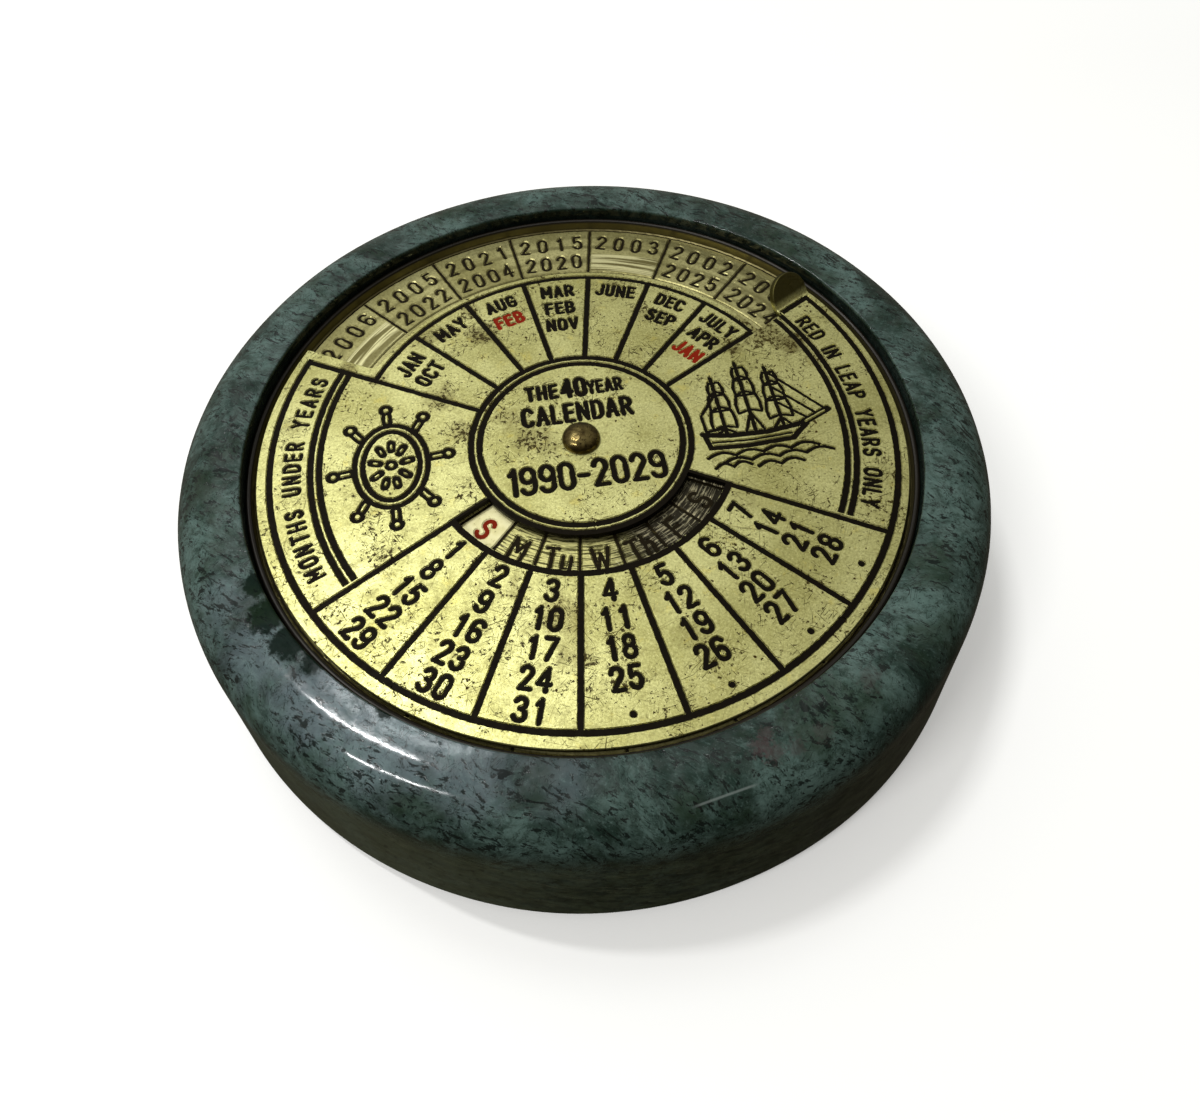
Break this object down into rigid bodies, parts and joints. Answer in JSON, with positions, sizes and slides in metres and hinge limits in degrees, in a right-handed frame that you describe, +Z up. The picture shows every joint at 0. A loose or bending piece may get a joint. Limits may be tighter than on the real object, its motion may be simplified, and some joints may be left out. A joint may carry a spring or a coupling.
{
  "type": "perpetual calendar paperweight",
  "caption": "Round polished green stone paperweight with an inset brass perpetual calendar, whose front dial turns on a domed rivet to bring a year over a month.",
  "frame": {"origin": "centre of the felt foot's underside", "axes": "+Z up out of the dial along the rivet; at rest +Y points to the year window and -Y to the date columns, +X to the reader's right"},
  "size_m": [0.076, 0.076, 0.0185],
  "materials": {
    "green_marble": "polished, mottled green with dark flecks",
    "felt": "pressed wool felt",
    "adhesive": "cured clear glue",
    "pan_brass": "etched brass, lightly tarnished, black enamel in the lines",
    "dial_brass": "etched brass with specks and fine scratches, black and red enamel in the lines",
    "rivet_brass": "darkened polished brass",
    "washer_fibre": "vulcanised fibre"
  },
  "bodies": {
    "base": {"marble_body": "green_marble", "base_felt": "felt", "felt_adhesive": "adhesive", "pan_adhesive": "adhesive", "year_pan": "pan_brass", "friction_washer": "washer_fibre", "pivot_rivet": "rivet_brass", "back_washer": "rivet_brass"},
    "dial": {"dial_plate": "dial_brass"}
  },
  "joints": [
    {"name": "dial_spin", "type": "hinge", "parent": "base", "child": "dial", "pos_m": [0, 0, 0.016], "axis": [0, 0, 1], "continuous": true}
  ]
}
